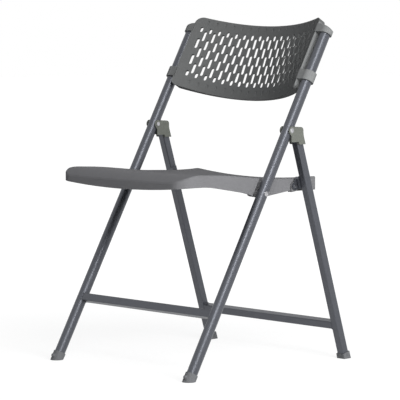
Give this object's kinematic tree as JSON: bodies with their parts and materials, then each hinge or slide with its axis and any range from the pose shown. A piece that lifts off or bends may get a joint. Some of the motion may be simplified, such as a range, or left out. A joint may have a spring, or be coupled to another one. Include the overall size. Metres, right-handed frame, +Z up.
{
  "type": "folding chair",
  "caption": "Folding chair with leaning round steel front tubes, square rear legs on hinge brackets, a moulded plastic seat and a curved slotted plastic back.",
  "frame": {"origin": "middle of the footprint, on the floor", "axes": "+Z up, +X to the right seen from the front, +Y towards the rear"},
  "size_m": [0.4918, 0.5368, 0.8093],
  "materials": {
    "frame_paint": "satin powder coat",
    "tab_paint": "satin powder coat",
    "seat_plastic": "fine moulded grain",
    "back_plastic": "fine moulded grain",
    "trim_plastic": "plain moulded",
    "bush_plastic": "plain moulded",
    "rivet_steel": "zinc plated"
  },
  "bodies": {
    "front_frame": {"front_tube_left": "frame_paint", "front_tube_right": "frame_paint", "front_crossbar": "frame_paint", "front_foot_left": "trim_plastic", "front_foot_right": "trim_plastic", "backrest_panel": "back_plastic", "seat_pivot_rivets": "rivet_steel", "hinge_rivets": "rivet_steel"},
    "seat": {"seat_shell": "seat_plastic", "seat_pivot_bushes": "bush_plastic"},
    "rear_frame": {"rear_leg_left": "frame_paint", "rear_leg_right": "frame_paint", "rear_crossbar": "frame_paint", "rear_foot_left": "trim_plastic", "rear_foot_right": "trim_plastic", "hinge_bracket_left": "trim_plastic", "hinge_bracket_right": "trim_plastic", "slide_tab_left": "tab_paint", "slide_tab_right": "tab_paint", "slide_rivets": "rivet_steel"},
    "shoes": {"slide_shoe_left": "trim_plastic", "slide_shoe_right": "trim_plastic"}
  },
  "joints": [
    {"name": "seat_fold", "type": "hinge", "parent": "front_frame", "child": "seat", "pos_m": [0, -0.02068, 0.408], "axis": [1, 0, 0], "range_deg": [0, 60.35]},
    {"name": "rear_fold", "type": "hinge", "parent": "front_frame", "child": "rear_frame", "pos_m": [0, 0.06015, 0.55], "axis": [1, 0, 0], "range_deg": [-46.75, 0]},
    {"name": "shoe_swivel", "type": "hinge", "parent": "rear_frame", "child": "shoes", "pos_m": [0, 0.10353, 0.418], "axis": [1, 0, 0], "range_deg": [0, 107.1]}
  ],
  "couplings": [
    {"joint": "rear_fold", "follows": "seat_fold", "ratio": -0.77465},
    {"joint": "shoe_swivel", "follows": "seat_fold", "ratio": 1.7746}
  ]
}
